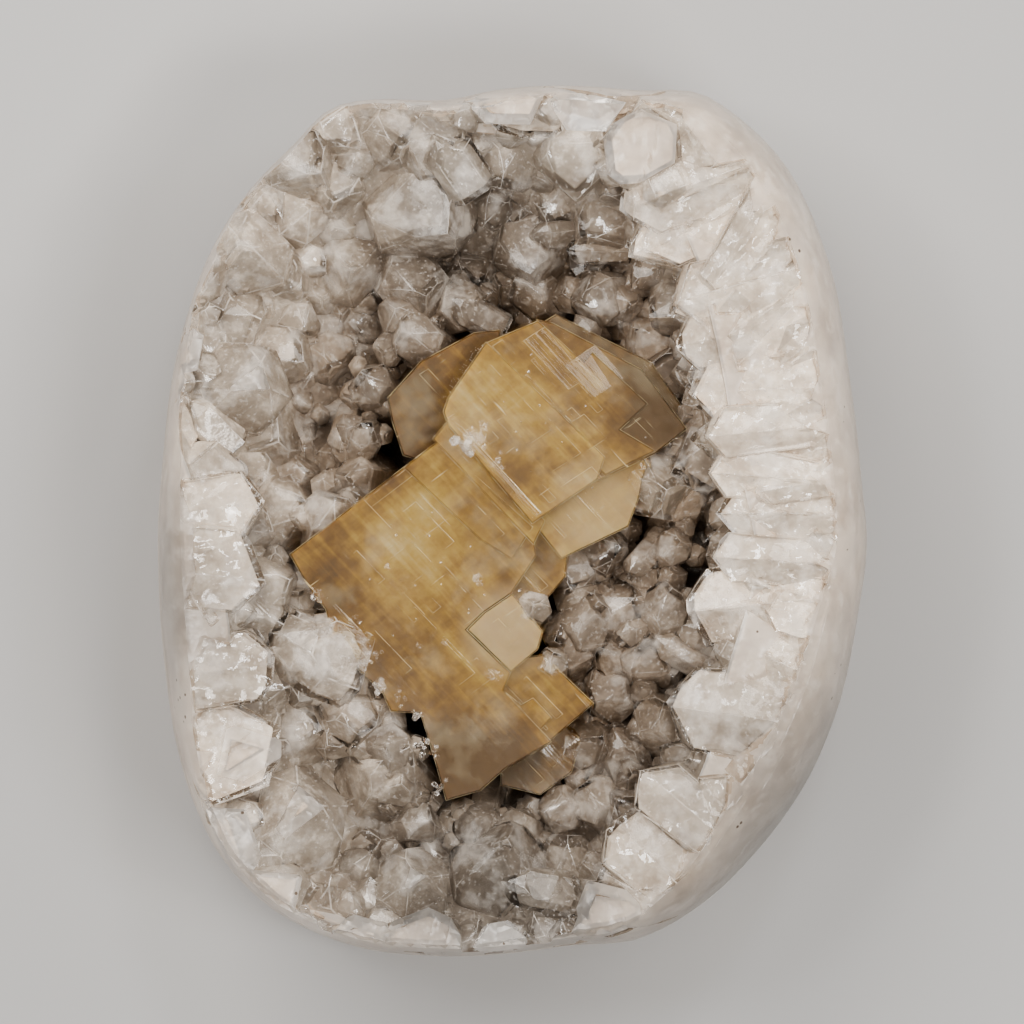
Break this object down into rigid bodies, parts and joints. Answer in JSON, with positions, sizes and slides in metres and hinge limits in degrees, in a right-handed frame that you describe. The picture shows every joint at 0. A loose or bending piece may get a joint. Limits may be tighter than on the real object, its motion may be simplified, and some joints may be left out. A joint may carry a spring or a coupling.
{
  "type": "quartz geode section with calcite",
  "caption": "Oval block of milky quartz, ground smooth outside, with an open hollow lined with quartz points round a cluster of honey calcite rhombs.",
  "frame": {"origin": "middle of the bounding box, on the flat sawn back", "axes": "+Z out of the hollow, away from the flat back; +Y along the block's length, towards its narrower end as the picture's top; +X towards its thick ground side"},
  "size_m": [0.1924, 0.237, 0.0967],
  "materials": {
    "milky_quartz": "translucent milky quartz, ground matt outside",
    "quartz_points": "grey-brown translucent quartz with shiny crystal faces",
    "honey_calcite": "cloudy honey calcite with shiny cleavage faces",
    "clear_quartz": "nearly clear quartz with shiny crystal faces"
  },
  "bodies": {
    "root": {"quartz_shell": "milky_quartz", "crystal_crust": "quartz_points", "calcite_cluster": "honey_calcite", "perched_quartz_1": "clear_quartz", "perched_quartz_2": "clear_quartz", "perched_quartz_3": "clear_quartz"}
  },
  "joints": []
}
